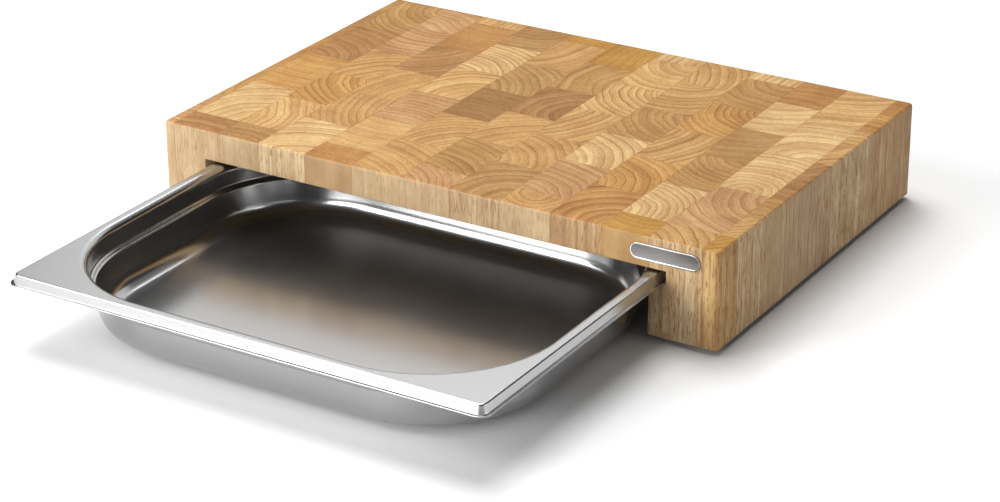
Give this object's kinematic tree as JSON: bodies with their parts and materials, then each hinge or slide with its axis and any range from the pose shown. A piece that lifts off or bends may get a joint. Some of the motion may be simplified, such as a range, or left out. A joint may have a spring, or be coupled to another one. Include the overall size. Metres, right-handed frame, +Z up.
{
  "type": "cutting board with drawer tray",
  "caption": "Thick end-grain wooden chopping board on low feet, with a flanged sheet-steel tray that slides in grooves beneath it to catch what is cut.",
  "frame": {"origin": "centre of the board's plan, on the plane that the feet stand on", "axes": "+X to the right along the front face, +Y from the front to the back, +Z up; the tray pulls out along -Y"},
  "size_m": [0.395, 0.466, 0.066],
  "materials": {
    "end_grain_wood": "oiled, smooth",
    "tray_steel": "satin",
    "plate_metal": "stippled ground, bright border",
    "foot_rubber": "matte",
    "screw_steel": "plain"
  },
  "bodies": {
    "board": {"left_edge_strip": "end_grain_wood", "left_rail": "end_grain_wood", "panel_strip_1": "end_grain_wood", "panel_strip_2": "end_grain_wood", "panel_strip_3": "end_grain_wood", "panel_strip_4": "end_grain_wood", "panel_strip_5": "end_grain_wood", "panel_strip_6": "end_grain_wood", "panel_strip_7": "end_grain_wood", "panel_strip_8": "end_grain_wood", "panel_strip_9": "end_grain_wood", "right_rail": "end_grain_wood", "right_edge_strip": "end_grain_wood", "name_plate": "plate_metal", "foot_front_left": "foot_rubber", "foot_back_left": "foot_rubber", "foot_front_right": "foot_rubber", "foot_back_right": "foot_rubber", "foot_screws": "screw_steel"},
    "tray": {"tray": "tray_steel"}
  },
  "joints": [
    {"name": "tray_slide", "type": "slide", "parent": "board", "child": "tray", "axis": [0, -1, 0], "range_m": [-0.196, 0.059]}
  ]
}
